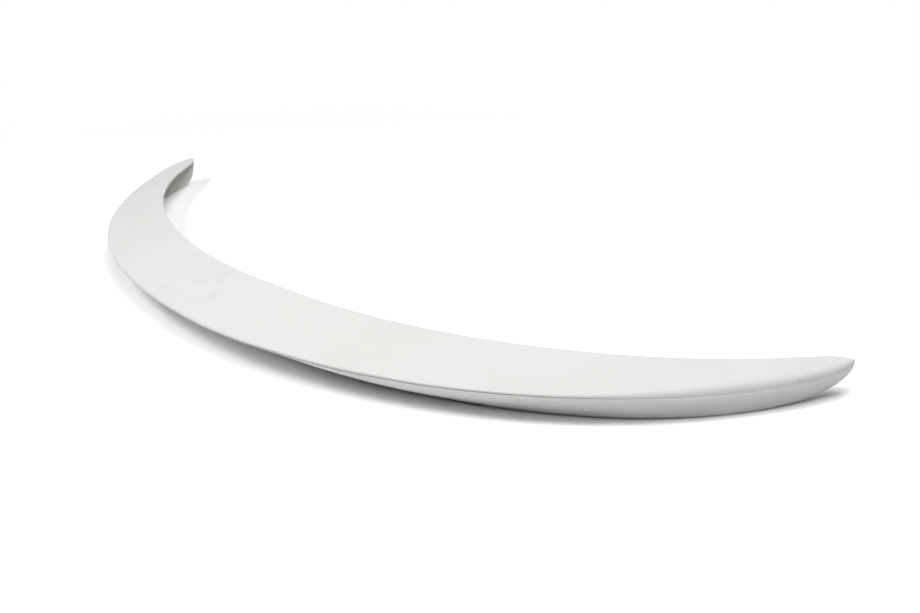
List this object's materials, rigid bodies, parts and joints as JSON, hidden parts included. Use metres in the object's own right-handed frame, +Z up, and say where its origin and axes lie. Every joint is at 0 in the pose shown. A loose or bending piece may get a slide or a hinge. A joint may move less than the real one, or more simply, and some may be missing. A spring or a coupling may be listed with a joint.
{
  "type": "car rear spoiler",
  "caption": "Crescent boot-lid lip spoiler: one thin moulded shell with a broad top skin, an overhanging rear lip with a fine groove under it, an undercut rear wall and pointed tips.",
  "frame": {"origin": "on the surface that the foot of the wall stands on, at the middle of the plan", "axes": "+X along the span from tip to tip, +Y forward to the tips with the lip at the rear (-Y), +Z up"},
  "size_m": [1.2012, 0.4267, 0.0618],
  "materials": {
    "shell": "satin off-white gelcoat or primer, unpainted"
  },
  "bodies": {
    "root": {"spoiler_shell": "shell"}
  },
  "joints": []
}
